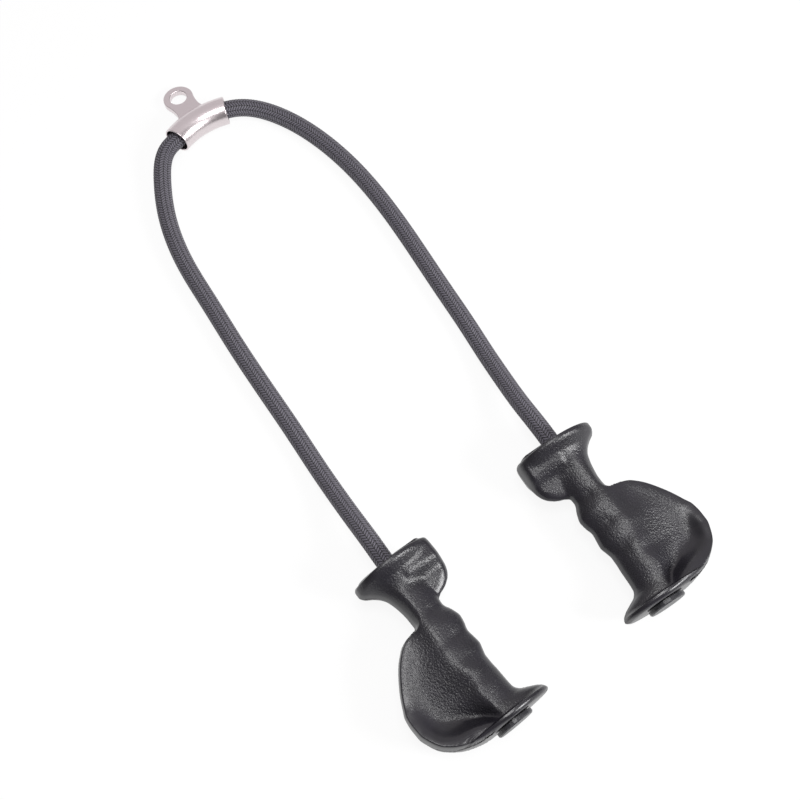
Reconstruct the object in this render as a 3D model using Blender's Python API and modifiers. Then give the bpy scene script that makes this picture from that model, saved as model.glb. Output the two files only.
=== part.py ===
"""Triceps rope attachment, laid out flat: a bent steel sleeve with a welded eye, a thick braided rope
through it, and two moulded grips that turn on the rope's ends. Metres, +Z up, the eye towards +Y.
"""

import math

import bmesh
import bpy
import numpy as np
from mathutils import Matrix, Vector

mm = 0.001
contact_gap = 0.3 * mm
cut_overrun = 4 * mm
grid_merge = 0.02 * mm

# Rope: one length of braided cord from grip to grip
rope_diameter = 16 * mm
rope_radius = rope_diameter / 2
rope_step = 1.6 * rope_diameter
held_step = 0.5 * rope_diameter
rope_past_mouth = 4 * mm
rope_rise = 1.5 * mm
entry_gap = 0.8 * mm
square_end = 2 * mm
rope_height_in_sleeve = 12 * mm

# Steel sleeve: a piece of bent tube
sleeve_tube_radius = 12.7 * mm
sleeve_wall = 1.6 * mm
sleeve_chord = 54.4 * mm
sleeve_bend = math.radians(45)
sleeve_x = 6.6 * mm
sleeve_mouth_y = 273.6 * mm
sleeve_yaw = math.radians(2)
sleeve_table_gap = 0.1 * mm

# Eye plate, cut from flat bar
eye_thickness = 6 * mm
eye_hole_radius = 8 * mm
eye_head_radius = 14 * mm
eye_hole_reach = 36 * mm
eye_waist_half = 9.5 * mm
eye_base_half = 15 * mm
eye_edge_round = 0.8 * mm
head_start = math.radians(-22)
waist_share = 0.46
flank_share = 0.3
weld_end_shares = (0.55, 0, -0.55)
hole_chamfer = 1.2 * mm
weld_radius = 1.4 * mm
weld_gap = 0.6 * mm

# Grip: one moulding that serves both hands
grip_length = 156 * mm
finger_reach = 38 * mm
palm_reach = 66 * mm
column_half_width = 16 * mm
neck_half_width = 14.5 * mm
flange_half_width = 29 * mm
base_half_width = 29 * mm
web_half = 4.6 * mm
beak_edge_half = 3.5 * mm
grip_edge_round = 3 * mm
grip_height = 29.5 * mm
top_crown = 2.5 * mm
top_plate = 4.5 * mm
top_flare = 25 * mm
base_plate = 5 * mm
base_flare = 11 * mm
bowl_flare = 27 * mm
blend_width = 3 * mm
# Its sections: powers of the ovals and slopes, and shares of the length or reach
column_power = 2
column_oval = 1.25
flange_power = 1.9
flange_fall_power = 2.2
base_power = 1.8
base_oval = 1.2
bowl_power = 1.7
bowl_full_share = 0.62
crown_start = 0.3
beak_root_share = 0.15
beak_end_share = 0.3
foot_round_share = 0.06
neck_shares = ((0.2, 0), (0.3, 1), (0.35, 1), (0.45, 0))
web_start_shares = ((0.3, 0), (0.36, 1))

# Grip's inner parts
liner_radius = 10 * mm
liner_wall = 1.6 * mm
stop_pocket_radius = 12.8 * mm
stop_pocket_depth = 26 * mm
washer_radius = 12.3 * mm
washer_hole_radius = 8.6 * mm
washer_thickness = 2.5 * mm
ferrule_radius = 11 * mm
ferrule_length = 13 * mm
ferrule_collar = 1.2 * mm
rope_tail = 1.5 * mm
cap_radius = 16.5 * mm
cap_proud = 4.8 * mm
cap_spigot = 5 * mm
cap_neck_radius = 12.4 * mm
cap_step_radius = 14.2 * mm
cap_step = 1.1 * mm
cap_round = 1 * mm

# Where the two grips lie: the middle of each grip's rope end, and the way it points
left_grip_place = (-87.2 * mm, -167 * mm)
left_grip_yaw = math.radians(4.0)
right_grip_place = (82.5 * mm, -159.6 * mm)
right_grip_yaw = math.radians(-1.7)

# The rope's lie between its grips and the sleeve, by hand, as (x, y, height) in millimetres
left_lie = (
    (-87.4, -146.2, 28.8), (-87.2, -120.2, 22.5), (-86.6, -92.2, 14.8), (-85.7, -60.2, 9.4),
    (-84.6, -24.2, 8.2), (-84.1, 23.8, 8.2), (-83.1, 72, 8.2), (-80.8, 120.4, 8.2),
    (-78, 166.2, 8.2), (-68.6, 209.8, 8.3), (-51.6, 247.8, 9.2), (-30.6, 271, 11.4),
)
right_lie = (
    (49.8, 268.6, 11.2), (71.7, 245.2, 9.2), (88.8, 206.1, 8.3), (97.7, 163.7, 8.2),
    (100.6, 110.5, 8.2), (99, 67, 8.2), (95.8, 17.1, 8.2), (93.2, -27, 8.2),
    (90.4, -56.2, 9.8), (87.2, -86.2, 15.2), (84.3, -113.2, 22.6), (82.9, -139.2, 28.8),
)

# Outlines of the grip, as (share of its length, share of the reach)
finger_outline_shares = (
    (0, 0.85), (0.01, 0.955), (0.025, 0.99), (0.055, 1), (0.1, 1), (0.175, 0.965), (0.21, 0.92),
    (0.243, 0.83), (0.272, 0.66), (0.29, 0.475), (0.307, 0.39), (0.335, 0.38), (0.392, 0.474),
    (0.434, 0.52), (0.475, 0.495), (0.519, 0.445), (0.563, 0.465), (0.601, 0.48), (0.639, 0.44),
    (0.677, 0.405), (0.715, 0.405), (0.76, 0.416), (0.83, 0.421), (0.873, 0.435), (0.902, 0.513),
    (0.924, 0.684), (0.946, 0.855), (0.966, 0.95), (0.984, 0.98), (0.994, 0.95), (1, 0.88),
)
palm_outline_shares = (
    (0, 0.45), (0.008, 0.505), (0.022, 0.522), (0.048, 0.524), (0.073, 0.49), (0.098, 0.405),
    (0.127, 0.333), (0.16, 0.285), (0.231, 0.242), (0.291, 0.227), (0.342, 0.227),
    (0.358, 0.25), (0.366, 0.345), (0.382, 0.48), (0.411, 0.575), (0.446, 0.66), (0.503, 0.765),
    (0.566, 0.862), (0.623, 0.932), (0.674, 0.985), (0.731, 1), (0.782, 0.998), (0.839, 0.958),
    (0.889, 0.898), (0.924, 0.818), (0.956, 0.712), (0.978, 0.591), (0.994, 0.455), (1, 0.34),
)
# How thick the palm rest's rim is, as (share of the grip's length, share of the base's half width)
rim_shares = ((0, 0.16), (0.45, 0.17), (0.6, 0.24), (0.72, 0.34), (0.84, 0.48), (0.93, 0.72), (1, 0.97))
# Stations of the loft, closest where the outline turns
station_shares = (
    0, 0.005, 0.015, 0.035, 0.06, 0.085, 0.11, 0.14, 0.17, 0.2, 0.23, 0.26, 0.285, 0.31, 0.335,
    0.352, 0.36, 0.367, 0.38, 0.4, 0.43, 0.47, 0.52, 0.565, 0.61, 0.655, 0.7, 0.745, 0.79,
    0.83, 0.865, 0.893, 0.915, 0.935, 0.953, 0.968, 0.98, 0.99, 1,
)
points_across = 21


# Scene, collections and materials

for old in list(bpy.data.objects):
    bpy.data.objects.remove(old, do_unlink=True)

parts = bpy.data.collections.new("triceps_rope_attachment")
cutters = bpy.data.collections.new("cutters")
for collection in (parts, cutters):
    bpy.context.scene.collection.children.link(collection)


def material(name, colour, roughness, metallic=0.0):
    made = bpy.data.materials.new(name)
    made.use_nodes = True
    shader = made.node_tree.nodes["Principled BSDF"]
    shader.inputs["Base Color"].default_value = (*colour, 1.0)
    shader.inputs["Roughness"].default_value = roughness
    shader.inputs["Metallic"].default_value = metallic
    made.diffuse_color = (*colour, 1.0)
    return made


rope_black = material("braided_nylon", (0.035, 0.033, 0.036), 0.75)
grip_black = material("moulded_urethane", (0.022, 0.022, 0.024), 0.45)
cap_black = material("moulded_cap", (0.03, 0.03, 0.032), 0.4)
stainless = material("satin_stainless", (0.62, 0.6, 0.6), 0.32, 1.0)
weld_steel = material("weld_stainless", (0.5, 0.48, 0.47), 0.45, 1.0)
zinc_steel = material("zinc_plated_steel", (0.6, 0.6, 0.62), 0.35, 1.0)
aluminium = material("crimped_aluminium", (0.7, 0.7, 0.71), 0.4, 1.0)


def add(name, mesh, finish, place=None):
    """A new object in the parts collection; place is its matrix."""
    made = bpy.data.objects.new(name, mesh)
    mesh.materials.clear()
    mesh.materials.append(finish)
    parts.objects.link(made)
    if place is not None:
        made.matrix_world = place
    return made


def empty(name, place):
    made = bpy.data.objects.new(name, None)
    parts.objects.link(made)
    made.matrix_world = place
    return made


def smooth(mesh, angle=40):
    mesh.shade_smooth()
    mesh.set_sharp_from_angle(angle=math.radians(angle))


def turned_mesh(name, profile, steps=40):
    """A profile of (radius, height) points, top to bottom on the outside, turned about Z."""
    closed = profile + [profile[0]] if profile[0][0] > 0 else profile
    mesh = bpy.data.meshes.new(name)
    mesh.from_pydata([(r, 0, z) for r, z in closed], [(i, i + 1) for i in range(len(closed) - 1)], [])
    helper = bpy.data.objects.new(name + "_profile", mesh)
    cutters.objects.link(helper)
    screw = helper.modifiers.new("turn", "SCREW")
    screw.steps = screw.render_steps = steps
    screw.use_merge_vertices = True
    screw.merge_threshold = grid_merge
    graph = bpy.context.evaluated_depsgraph_get()
    made = bpy.data.meshes.new_from_object(helper.evaluated_get(graph))
    bpy.data.objects.remove(helper, do_unlink=True)
    smooth(made)
    return made


def mesh_of(curve, points, cyclic=False):
    """The mesh of a curve object's one straight-sided spline, welded where its caps meet its sides."""
    spline = curve.splines.new("POLY")
    spline.points.add(len(points) - 1)
    for slot, point in zip(spline.points, points):
        slot.co = (*point, 1)
    spline.use_cyclic_u = cyclic
    helper = bpy.data.objects.new(curve.name + "_curve", curve)
    cutters.objects.link(helper)
    graph = bpy.context.evaluated_depsgraph_get()
    made = bpy.data.meshes.new_from_object(helper.evaluated_get(graph))
    bpy.data.objects.remove(helper, do_unlink=True)
    weld_doubles(made)
    return made


def bar_mesh(name, points, radius, sides=3, cyclic=False):
    """A round bar along the points, or a closed ring of it."""
    curve = bpy.data.curves.new(name, "CURVE")
    curve.dimensions = "3D"
    curve.bevel_depth = radius
    curve.bevel_resolution = sides
    curve.use_fill_caps = not cyclic
    made = mesh_of(curve, points, cyclic)
    smooth(made, 60)
    return made


def plate_mesh(name, outline, thickness, height):
    """A flat plate cut to an outline in X and Y, centred on a height."""
    curve = bpy.data.curves.new(name, "CURVE")
    curve.dimensions = "2D"
    curve.fill_mode = "BOTH"
    curve.extrude = thickness / 2
    made = mesh_of(curve, [(x, y, 0) for x, y in outline], cyclic=True)
    made.transform(Matrix.Translation((0, 0, height)))
    return made


def weld_doubles(mesh):
    grid = bmesh.new()
    grid.from_mesh(mesh)
    bmesh.ops.remove_doubles(grid, verts=grid.verts, dist=grid_merge)
    bmesh.ops.recalc_face_normals(grid, faces=grid.faces)
    grid.to_mesh(mesh)
    grid.free()


def cutter(name, mesh, place):
    made = bpy.data.objects.new(name, mesh)
    cutters.objects.link(made)
    made.matrix_world = place
    made.hide_render = True
    made.display_type = "WIRE"
    return made


def cut(target, tool):
    boolean = target.modifiers.new("cut_" + tool.name, "BOOLEAN")
    boolean.operation = "DIFFERENCE"
    boolean.solver = "EXACT"
    boolean.object = tool


def even_curve(points, step):
    """Points about one step apart along a natural cubic curve through the given points."""
    knots = np.array(points, float)
    length = np.r_[0, np.cumsum(np.linalg.norm(np.diff(knots, axis=0), axis=1))]
    count = len(knots)
    system = np.eye(count)
    right = np.zeros_like(knots)
    for i in range(1, count - 1):
        before, after = length[i] - length[i - 1], length[i + 1] - length[i]
        system[i, i - 1 : i + 2] = before, 2 * (before + after), after
        right[i] = 6 * ((knots[i + 1] - knots[i]) / after - (knots[i] - knots[i - 1]) / before)
    bend = np.linalg.solve(system, right)

    def at(s):
        i = min(max(int(np.searchsorted(length, s) - 1), 0), count - 2)
        gap = length[i + 1] - length[i]
        a, b = length[i + 1] - s, s - length[i]
        return (
            (bend[i] * a**3 + bend[i + 1] * b**3) / (6 * gap)
            + (knots[i] / gap - bend[i] * gap / 6) * a
            + (knots[i + 1] / gap - bend[i + 1] * gap / 6) * b
        )

    parts_count = max(2, round(length[-1] / step))
    return [Vector(at(s)) for s in np.linspace(0, length[-1], parts_count + 1)]


# Steel sleeve and eye: one welded piece that turns on the rope about the line of its mouths

bend_radius = sleeve_chord / 2 / math.sin(sleeve_bend / 2)
sagitta = bend_radius * (1 - math.cos(sleeve_bend / 2))
tip_reach = eye_hole_reach + eye_head_radius
# The plate leans on its tip: the tilt at which both the tube and the tip touch the table
tip_corner = math.hypot(tip_reach, eye_thickness / 2)
droop = math.asin((sleeve_tube_radius - sleeve_table_gap) / tip_corner)
droop -= math.atan2(eye_thickness / 2, tip_reach)
axis_to_apex_y = sagitta * math.cos(droop) / 2
axis_to_apex_z = sleeve_tube_radius - rope_height_in_sleeve
apex_u = axis_to_apex_y * math.cos(droop) - axis_to_apex_z * math.sin(droop)
apex_w = axis_to_apex_y * math.sin(droop) + axis_to_apex_z * math.cos(droop)
sleeve_axis_y = sleeve_mouth_y + axis_to_apex_y
sleeve_axis = empty(
    "sleeve_tilt_axis",
    Matrix.Translation((sleeve_x, sleeve_axis_y, rope_height_in_sleeve))
    @ Matrix.Rotation(sleeve_yaw, 4, "Z")
    @ Matrix.Rotation(-droop, 4, "X"),
)


def sleeve_arc(radius_from_centre, overrun=0.0, count=17):
    """Points along the bend, left to right, in the sleeve's own frame."""
    centre_u = apex_u - bend_radius
    half = sleeve_bend / 2 + overrun / bend_radius
    return [
        (radius_from_centre * math.sin(t), centre_u + radius_from_centre * math.cos(t), apex_w)
        for t in np.linspace(-half, half, count)
    ]


sleeve_outer = bar_mesh("sleeve_tube", sleeve_arc(bend_radius), sleeve_tube_radius, 7)
sleeve_tube = add("sleeve_tube", sleeve_outer, stainless)
sleeve_tube.parent = sleeve_axis
sleeve_bore = cutter(
    "sleeve_bore",
    bar_mesh("sleeve_bore", sleeve_arc(bend_radius, cut_overrun), sleeve_tube_radius - sleeve_wall, 7),
    Matrix.Identity(4),
)
sleeve_bore.parent = sleeve_axis
cut(sleeve_tube, sleeve_bore)


def eye_outline():
    """The plate's edge: a round head, hollow flanks and a wide foot inside the tube's outline."""
    head_u = apex_u + eye_hole_reach
    foot_u = apex_u
    waist_u = apex_u + waist_share * eye_hole_reach
    right = [(eye_base_half, foot_u), (eye_base_half, apex_u + flank_share * eye_hole_reach)]
    flank_end = (eye_head_radius * math.cos(head_start), head_u + eye_head_radius * math.sin(head_start))
    start = right[-1]
    for t in np.linspace(0, 1, 8)[1:-1]:
        middle = (eye_waist_half, waist_u)
        right.append(
            tuple(
                (1 - t) ** 2 * start[k] + 2 * t * (1 - t) * middle[k] + t**2 * flank_end[k] for k in (0, 1)
            )
        )
    for turn in np.linspace(head_start, math.pi / 2, 11):
        right.append((eye_head_radius * math.cos(turn), head_u + eye_head_radius * math.sin(turn)))
    return right + [(-x, u) for x, u in reversed(right[:-1])]


eye_plate = add("eye_plate", plate_mesh("eye_plate", eye_outline(), eye_thickness, apex_w), stainless)
eye_plate.parent = sleeve_axis
rounded = eye_plate.modifiers.new("edge_round", "BEVEL")
rounded.width = eye_edge_round
rounded.segments = 2
rounded.limit_method = "ANGLE"
rounded.angle_limit = math.radians(60)

# The hole is drilled with a chamfer on both faces
half_plate = eye_thickness / 2
drill = turned_mesh(
    "eye_hole",
    [
        (0, half_plate + cut_overrun),
        (eye_hole_radius + hole_chamfer + cut_overrun, half_plate + cut_overrun),
        (eye_hole_radius, half_plate - hole_chamfer),
        (eye_hole_radius, -half_plate + hole_chamfer),
        (eye_hole_radius + hole_chamfer + cut_overrun, -half_plate - cut_overrun),
        (0, -half_plate - cut_overrun),
    ],
)
eye_drill = cutter("eye_drill", drill, Matrix.Translation((0, apex_u + eye_hole_reach, apex_w)))
eye_drill.parent = sleeve_axis
cut(eye_plate, eye_drill)
eye_cope = cutter(
    "eye_cope",
    bar_mesh("eye_cope", sleeve_arc(bend_radius, cut_overrun), sleeve_tube_radius + contact_gap, 7),
    Matrix.Identity(4),
)
eye_cope.parent = sleeve_axis
cut(eye_plate, eye_cope)


def weld_path():
    """One bead all round the plate's foot, in the corner between plate and tube."""
    lift = eye_thickness / 2 + weld_radius + weld_gap
    stand_off = sleeve_tube_radius + weld_radius + weld_gap
    side = math.sqrt(stand_off**2 - lift**2)
    centre_u = apex_u - bend_radius
    half = (eye_base_half + weld_radius + weld_gap) / bend_radius
    face = [
        ((bend_radius + side) * math.sin(t), centre_u + (bend_radius + side) * math.cos(t))
        for t in np.linspace(-half, half, 9)
    ]
    end = [
        (bend_radius + math.sqrt(stand_off**2 - (lift * k) ** 2), lift * k)
        for k in weld_end_shares
    ]
    ring = [(x, u, apex_w + lift) for x, u in face]
    ring += [(r * math.sin(half), centre_u + r * math.cos(half), apex_w + w) for r, w in end]
    ring += [(x, u, apex_w - lift) for x, u in reversed(face)]
    ring += [(-r * math.sin(half), centre_u + r * math.cos(half), apex_w - w) for r, w in end]
    return ring


weld_ring = bar_mesh("weld_bead", weld_path(), weld_radius, 2, cyclic=True)
weld_bead = add("weld_bead", weld_ring, weld_steel)
weld_bead.parent = sleeve_axis


# Rope: the held stretches in the sleeve and the grips, and the two free legs between them


def grip_matrix(place, yaw, turned):
    """A grip's frame: X towards the palm, -Y along the grip to its cap, Z up at rest."""
    flip = Matrix.Rotation(math.pi, 4, "Y") if turned else Matrix.Identity(4)
    return Matrix.Translation((*place, grip_height)) @ Matrix.Rotation(yaw, 4, "Z") @ flip


left_grip = empty("grip_left_swivel_axis", grip_matrix(left_grip_place, left_grip_yaw, True))
right_grip = empty("grip_right_swivel_axis", grip_matrix(right_grip_place, right_grip_yaw, False))


def along_grip(axis, distance):
    """A point on a grip's axis, the distance from its rope end towards its cap."""
    return axis.matrix_world @ Vector((0, -distance, 0))


bpy.context.view_layer.update()
half_chord = sleeve_chord / 2
sleeve_in = Vector((math.cos(sleeve_yaw), math.sin(sleeve_yaw), 0)) * half_chord
sleeve_middle = Vector((sleeve_x, sleeve_axis_y, rope_height_in_sleeve))
sleeve_side = Vector((-math.sin(sleeve_yaw), math.cos(sleeve_yaw), 0)) * rope_rise
route = (
    [along_grip(left_grip, rope_diameter), along_grip(left_grip, 0)]
    + [Vector(p) * mm for p in left_lie]
    + [sleeve_middle - sleeve_in - sleeve_side]
    + [sleeve_middle + sleeve_side]
    + [sleeve_middle + sleeve_in - sleeve_side]
    + [Vector(p) * mm for p in right_lie]
    + [along_grip(right_grip, 0), along_grip(right_grip, rope_diameter)]
)
fine_step = rope_radius / 16
fine = even_curve(route, fine_step)


def nearest(points, target):
    return min(range(len(points)), key=lambda i: (points[i] - target).length)


def stretch(first, last, step):
    """The rope's own line between two of its fine points, with a short step at each end to square it."""
    count = max(3, round((last - first) * fine_step / step))
    square = round(square_end / fine_step)
    places = [first, *np.linspace(first + square, last - square, count + 1), last]
    return [fine[round(k)] for k in places]


past = round(rope_past_mouth / fine_step)
left_mouth = nearest(fine, sleeve_middle - sleeve_in) - past
right_mouth = nearest(fine, sleeve_middle + sleeve_in) + past
left_entry = nearest(fine, along_grip(left_grip, 0))
right_entry = nearest(fine, along_grip(right_grip, 0))


def trimmed(points, start, end):
    """The same line with its first and last points drawn in by the two lengths."""
    out = list(points)
    out[0] = out[0] + (out[1] - out[0]).normalized() * start
    out[-1] = out[-1] + (out[-2] - out[-1]).normalized() * end
    return out


held_rope = stretch(left_mouth, right_mouth, held_step)
left_rope = trimmed(stretch(left_entry, left_mouth, rope_step), entry_gap, contact_gap)
right_rope = trimmed(stretch(right_mouth, right_entry, rope_step), contact_gap, entry_gap)
add("rope_in_sleeve", bar_mesh("rope_in_sleeve", held_rope, rope_radius), rope_black)
add("rope_leg_left", bar_mesh("rope_leg_left", left_rope, rope_radius), rope_black)
add("rope_leg_right", bar_mesh("rope_leg_right", right_rope, rope_radius), rope_black)


# Grip: a loft of unlike sections, the same above and below its middle plane


def through(shares, at):
    """A smooth value read from (place, value) shares, with no overshoot between them."""
    x = np.array([s[0] for s in shares], float)
    y = np.array([s[1] for s in shares], float)
    slope = np.diff(y) / np.diff(x)
    tangent = np.zeros_like(y)
    tangent[0], tangent[-1] = slope[0], slope[-1]
    same = slope[:-1] * slope[1:] > 0
    tangent[1:-1][same] = 2 / (1 / slope[:-1][same] + 1 / slope[1:][same])
    at = np.clip(at, x[0], x[-1])
    i = np.clip(np.searchsorted(x, at, side="right") - 1, 0, len(x) - 2)
    gap = x[i + 1] - x[i]
    t = (at - x[i]) / gap
    return (
        y[i] * (1 + 2 * t) * (1 - t) ** 2
        + tangent[i] * gap * t * (1 - t) ** 2
        + y[i + 1] * t**2 * (3 - 2 * t)
        - tangent[i + 1] * gap * t**2 * (1 - t)
    )


def finger_edge(a):
    return -finger_reach * through(finger_outline_shares, a / grip_length)


def palm_edge(a):
    return palm_reach * through(palm_outline_shares, a / grip_length)


def ease(value):
    """0 to 1 with flat ends."""
    value = np.clip(value, 0, 1)
    return value * value * (3 - 2 * value)


def joined(one, other):
    """The larger of two heights, with a fillet where they meet."""
    close = np.clip(1 - np.abs(one - other) / blend_width, 0, 1)
    return np.maximum(one, other) + close**2 * blend_width / 4


def oval(p, back, front, power):
    """Half an oval's height, from 0 to 1, over its two unlike reaches."""
    reach = np.where(p < 0, back, front)
    return np.clip(1 - np.abs(p / reach) ** power, 0, None) ** (1 / power)


edge_line_shares = np.linspace(0, 1, 121)
edge_along = edge_line_shares * grip_length
edge_palm = palm_edge(edge_along)


def half_depth(a, p):
    """The grip's half thickness at a place along it and a distance across towards the palm."""
    finger, palm = finger_edge(a), palm_edge(a)
    # Column, a little slimmer at the neck
    along = a / grip_length
    neck = through(neck_shares, along)
    width = column_half_width + (neck_half_width - column_half_width) * neck
    widest = column_oval * column_half_width
    column = width * oval(p, np.minimum(-finger, widest), np.minimum(palm, widest), column_power)
    # Rope-end flange and its flare
    fall = np.clip((a - top_plate) / top_flare, 0, 1)
    crown = np.sqrt(np.clip(crown_start + (1 - crown_start) * a / top_crown, 0, 1))
    flange = crown * flange_half_width * oval(p, -finger, palm, flange_power) * (1 - fall) ** flange_fall_power
    # Beak under the flange, for the first finger to pull on
    beak_slope = np.clip((p - finger) / (-beak_root_share * finger_reach - finger), 0, 1)
    beak = (beak_edge_half + (column_half_width - beak_edge_half) * beak_slope) * (p < 0)
    beak = np.where(along < beak_end_share, beak, 0)
    # Base plate round the cap
    base_fall = np.clip((grip_length - a - base_plate) / base_flare, 0, 1)
    foot = 1 - foot_round_share * np.clip(1 - (grip_length - a) / grip_edge_round, 0, 1) ** 2
    base = foot * base_half_width * oval(p, -finger, base_oval * palm, base_power) * (1 - base_fall) ** 2
    # Palm rest: a web with a rim that thickens towards the base
    across = np.maximum(p, 0)
    far = np.hypot(a[..., None] - edge_along, across[..., None] - edge_palm)
    near = far.argmin(-1)
    from_edge = np.minimum(far.min(-1), np.maximum(grip_length - a, 0))
    rim = base_half_width * through(rim_shares, edge_line_shares[near])
    widening = ease(across / (bowl_full_share * palm_reach))
    slope_width = base_flare + (bowl_flare - base_flare) * widening
    bowl = web_half + (rim - web_half) * np.clip(1 - from_edge / slope_width, 0, 1) ** bowl_power
    bowl = np.where(p > 0, bowl * through(web_start_shares, along), 0)
    depth = joined(joined(column, bowl), joined(joined(flange, beak), base))
    # Rounded at the outline, all the way round
    inside = np.minimum(np.minimum(p - finger, palm - p), palm - finger)
    inside = np.clip(inside, 0, None)
    soft = np.clip(inside / grip_edge_round, 0, 1)
    return depth * np.sqrt(1 - (1 - soft) ** 2)


def grip_mesh(name, stations, across):
    """The loft's rings, one at each station, closed by a fan at each end."""
    angle = np.linspace(0, math.pi, across)
    spread = (1 - np.cos(angle)) / 2
    rings, faces = [], []
    for share in stations:
        a = share * grip_length
        finger, palm = finger_edge(np.array(a)), palm_edge(np.array(a))
        p = finger + (palm - finger) * spread
        depth = half_depth(np.full_like(p, a), p)
        depth[0] = depth[-1] = 0
        upper = [(x, -a, z) for x, z in zip(p, depth)]
        lower = [(x, -a, -z) for x, z in zip(p[-2:0:-1], depth[-2:0:-1])]
        rings.append(upper + lower)
    count = len(rings[0])
    points = [point for ring in rings for point in ring]
    for i in range(len(rings) - 1):
        for k in range(count):
            one, two = i * count + k, i * count + (k + 1) % count
            faces.append((one, two, two + count, one + count))
    last = (len(rings) - 1) * count
    faces.append(tuple(range(count - 1, -1, -1)))
    faces.append(tuple(last + k for k in range(count)))
    mesh = bpy.data.meshes.new(name)
    mesh.from_pydata(points, [], faces)
    weld_doubles(mesh)
    smooth(mesh, 50)
    return mesh


def on_axis(distance):
    """A turned piece's frame on a grip's axis: its own Z points from the cap back to the rope."""
    return Matrix.Translation((0, -distance, 0)) @ Matrix.Rotation(-math.pi / 2, 4, "X")


grip_shape = grip_mesh("grip", station_shares, points_across)
bore_radius = liner_radius + contact_gap
pocket_start = grip_length - stop_pocket_depth
liner_length = pocket_start - contact_gap
washer_start = pocket_start + contact_gap
ferrule_start = washer_start + washer_thickness + contact_gap
rope_end = ferrule_start + ferrule_length + rope_tail


def tube_profile(outer, inner, length):
    return [(outer, 0), (outer, -length), (inner, -length), (inner, 0)]


liner_profile = tube_profile(liner_radius, liner_radius - liner_wall, liner_length - contact_gap)
washer_profile = tube_profile(washer_radius, washer_hole_radius, washer_thickness)

for side, axis in (("left", left_grip), ("right", right_grip)):
    body = add("grip_" + side, grip_shape.copy(), grip_black)
    body.parent = axis
    for label, radius, start, end in (
        ("bore", bore_radius, -cut_overrun, grip_length + cut_overrun),
        ("pocket", stop_pocket_radius, pocket_start, grip_length + cut_overrun),
    ):
        tool = cutter(
            "grip_" + label + "_" + side,
            turned_mesh(label, [(0, 0), (radius, 0), (radius, start - end), (0, start - end)], 32),
            Matrix.Identity(4),
        )
        tool.parent = axis
        tool.matrix_local = on_axis(start)
        cut(body, tool)
    for name, finish, start, profile in (
        ("liner_tube", zinc_steel, contact_gap, liner_profile),
        ("washer", zinc_steel, washer_start, washer_profile),
        (
            "ferrule",
            aluminium,
            ferrule_start,
            [
                (ferrule_radius, 0),
                (ferrule_radius, -ferrule_collar),
                (ferrule_radius - ferrule_collar, -2 * ferrule_collar),
                (ferrule_radius - ferrule_collar, 2 * ferrule_collar - ferrule_length),
                (ferrule_radius, ferrule_collar - ferrule_length),
                (ferrule_radius, -ferrule_length),
                (rope_radius + contact_gap, -ferrule_length),
                (rope_radius + contact_gap, 0),
            ],
        ),
        (
            "end_cap",
            cap_black,
            grip_length,
            [
                (0, cap_spigot),
                (cap_neck_radius, cap_spigot),
                (cap_neck_radius, -contact_gap),
                (cap_step_radius, -contact_gap),
                (cap_step_radius, -cap_step),
                (cap_radius, -cap_step),
                (cap_radius, -cap_proud + cap_round),
                (cap_radius - cap_round, -cap_proud),
                (0, -cap_proud),
            ],
        ),
        ("rope_end", rope_black, 0, [(0, 0), (rope_radius, 0), (rope_radius, -rope_end), (0, -rope_end)]),
    ):
        piece = add(name + "_" + side, turned_mesh(name, profile, 32), finish)
        piece.parent = axis
        piece.matrix_local = on_axis(start)
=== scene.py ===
"""Look of the triceps rope attachment: braided rope, bent steel sleeve with its eye, and two moulded
grips, lit and seen as in the photo. It works in metres in the CAD's frame.
"""

import math

import bpy
import numpy as np
from mathutils import Matrix, Vector


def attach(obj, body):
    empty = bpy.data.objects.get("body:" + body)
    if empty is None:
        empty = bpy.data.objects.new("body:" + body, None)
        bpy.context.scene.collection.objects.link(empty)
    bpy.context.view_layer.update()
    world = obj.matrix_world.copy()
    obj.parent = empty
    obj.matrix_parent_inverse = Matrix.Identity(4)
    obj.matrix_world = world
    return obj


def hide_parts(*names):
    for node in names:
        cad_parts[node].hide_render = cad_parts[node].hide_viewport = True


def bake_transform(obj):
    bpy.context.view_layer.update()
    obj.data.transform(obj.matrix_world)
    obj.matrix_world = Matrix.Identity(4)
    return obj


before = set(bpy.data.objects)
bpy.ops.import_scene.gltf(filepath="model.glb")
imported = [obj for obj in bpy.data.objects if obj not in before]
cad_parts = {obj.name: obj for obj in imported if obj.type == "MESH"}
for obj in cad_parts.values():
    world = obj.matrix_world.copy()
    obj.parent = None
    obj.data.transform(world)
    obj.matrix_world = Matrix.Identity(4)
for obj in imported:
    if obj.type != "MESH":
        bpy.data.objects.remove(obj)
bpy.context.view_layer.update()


# Camera: the photo is taken from high over the grips, a little to their left, so the rope runs
# from upper left to lower right. The picture is square.
looked_at = Vector((0.0053, -0.0502, 0.009))
camera = bpy.data.objects.new("camera", bpy.data.cameras.new("camera"))
bpy.context.scene.collection.objects.link(camera)
camera.location = (-0.2345, -0.4004, 1.1145)
camera.data.lens = 62.6
camera.data.sensor_width = 36
camera.rotation_mode = "QUATERNION"
camera.rotation_quaternion = (looked_at - camera.location).to_track_quat("-Z", "Y")
bpy.context.scene.camera = camera


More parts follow.
